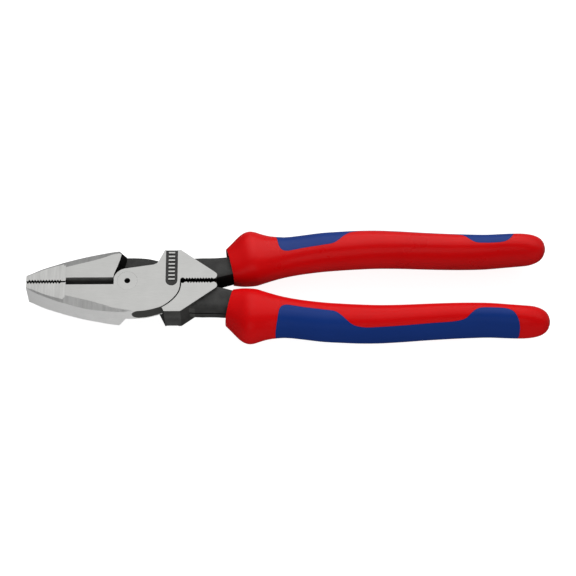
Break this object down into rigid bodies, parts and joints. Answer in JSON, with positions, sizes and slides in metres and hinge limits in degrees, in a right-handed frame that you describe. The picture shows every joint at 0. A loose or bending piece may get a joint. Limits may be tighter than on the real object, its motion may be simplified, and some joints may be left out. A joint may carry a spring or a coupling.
{
  "type": "lineman pliers",
  "caption": "Lap-jointed lineman pliers with serrated flat jaws, side cutter, tail grip teeth and curved two-colour moulded handle grips.",
  "frame": {"origin": "centre of the bounding box, on the lap plane of the joint and on the centre line between the two handles", "axes": "+X from the jaws to the handle ends, +Y across the tool towards the upper handle, +Z out of the polished front face"},
  "size_m": [0.24, 0.0548, 0.0242],
  "materials": {
    "forged_steel": "ground faces over black forging",
    "rivet_steel": "ground flush",
    "hard_red_plastic": "satin gloss",
    "soft_blue_rubber": "matte soft touch"
  },
  "bodies": {
    "back_half": {"back_lever": "forged_steel", "pivot_rivet": "rivet_steel", "lower_grip": "hard_red_plastic", "lower_grip_inlay": "soft_blue_rubber"},
    "front_half": {"front_lever": "forged_steel", "upper_grip": "hard_red_plastic", "upper_grip_inlay": "soft_blue_rubber"}
  },
  "joints": [
    {"name": "pivot", "type": "hinge", "parent": "back_half", "child": "front_half", "pos_m": [-0.0735, 0, 0], "axis": [0, 0, 1], "range_deg": [0, 36]}
  ]
}
